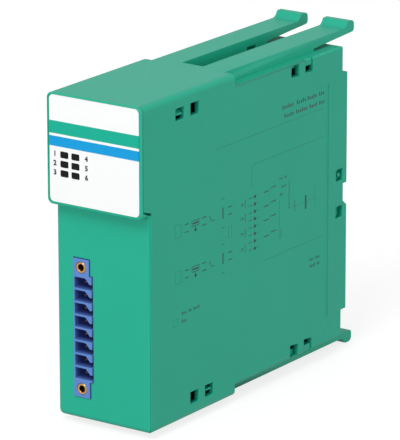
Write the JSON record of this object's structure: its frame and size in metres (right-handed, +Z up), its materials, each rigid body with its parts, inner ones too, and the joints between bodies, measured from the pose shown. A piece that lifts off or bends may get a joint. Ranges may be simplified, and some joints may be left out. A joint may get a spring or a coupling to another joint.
{
  "type": "signal isolator",
  "caption": "Narrow plug-in signal isolator with a hooded labelled front, a keyed screw-flange terminal header, a clipped side cover and latch arms at the rear.",
  "frame": {"origin": "under the middle of the part, at the level of the lower latch lips", "axes": "+X to the right seen from the front, +Y from the front to the rear, +Z up"},
  "size_m": [0.0324, 0.112, 0.0992],
  "materials": {
    "green_housing": "moulded, fine satin",
    "label_film": "printed polyester film",
    "smoked_guide": "smoked clear moulding",
    "lamp_resin": "cast resin",
    "blue_header": "moulded, satin",
    "tinned_pin": "tin plated",
    "brass": "turned",
    "board": "solder mask on glass laminate",
    "ferrite": "ground ferrite",
    "winding": "tape over enamelled wire",
    "black_moulding": "moulded, matt",
    "capacitor_sleeve": "shrink sleeve",
    "gold_contact": "gold flash"
  },
  "bodies": {
    "root": {"housing_shell": "green_housing", "side_cover": "green_housing", "front_label": "label_film", "lamp_board": "board", "header_body": "blue_header", "upper_screw_insert": "brass", "lower_screw_insert": "brass", "main_board": "board", "transformer_core": "ferrite", "transformer_bobbin": "black_moulding", "transformer_winding": "winding", "controller_chip": "black_moulding", "converter_chip": "black_moulding", "capacitor_1": "capacitor_sleeve", "capacitor_2": "capacitor_sleeve", "rear_plug": "black_moulding", "rear_contacts": "gold_contact", "light_guide_1": "smoked_guide", "status_lamp_1": "lamp_resin", "light_guide_2": "smoked_guide", "status_lamp_2": "lamp_resin", "light_guide_3": "smoked_guide", "status_lamp_3": "lamp_resin", "light_guide_4": "smoked_guide", "status_lamp_4": "lamp_resin", "light_guide_5": "smoked_guide", "status_lamp_5": "lamp_resin", "light_guide_6": "smoked_guide", "status_lamp_6": "lamp_resin", "header_pin_1": "tinned_pin", "header_pin_2": "tinned_pin", "header_pin_3": "tinned_pin", "header_pin_4": "tinned_pin", "header_pin_5": "tinned_pin", "header_pin_6": "tinned_pin", "header_pin_7": "tinned_pin", "header_pin_8": "tinned_pin", "coupler_1": "black_moulding", "coupler_2": "black_moulding", "coupler_3": "black_moulding", "coupler_4": "black_moulding"}
  },
  "joints": []
}
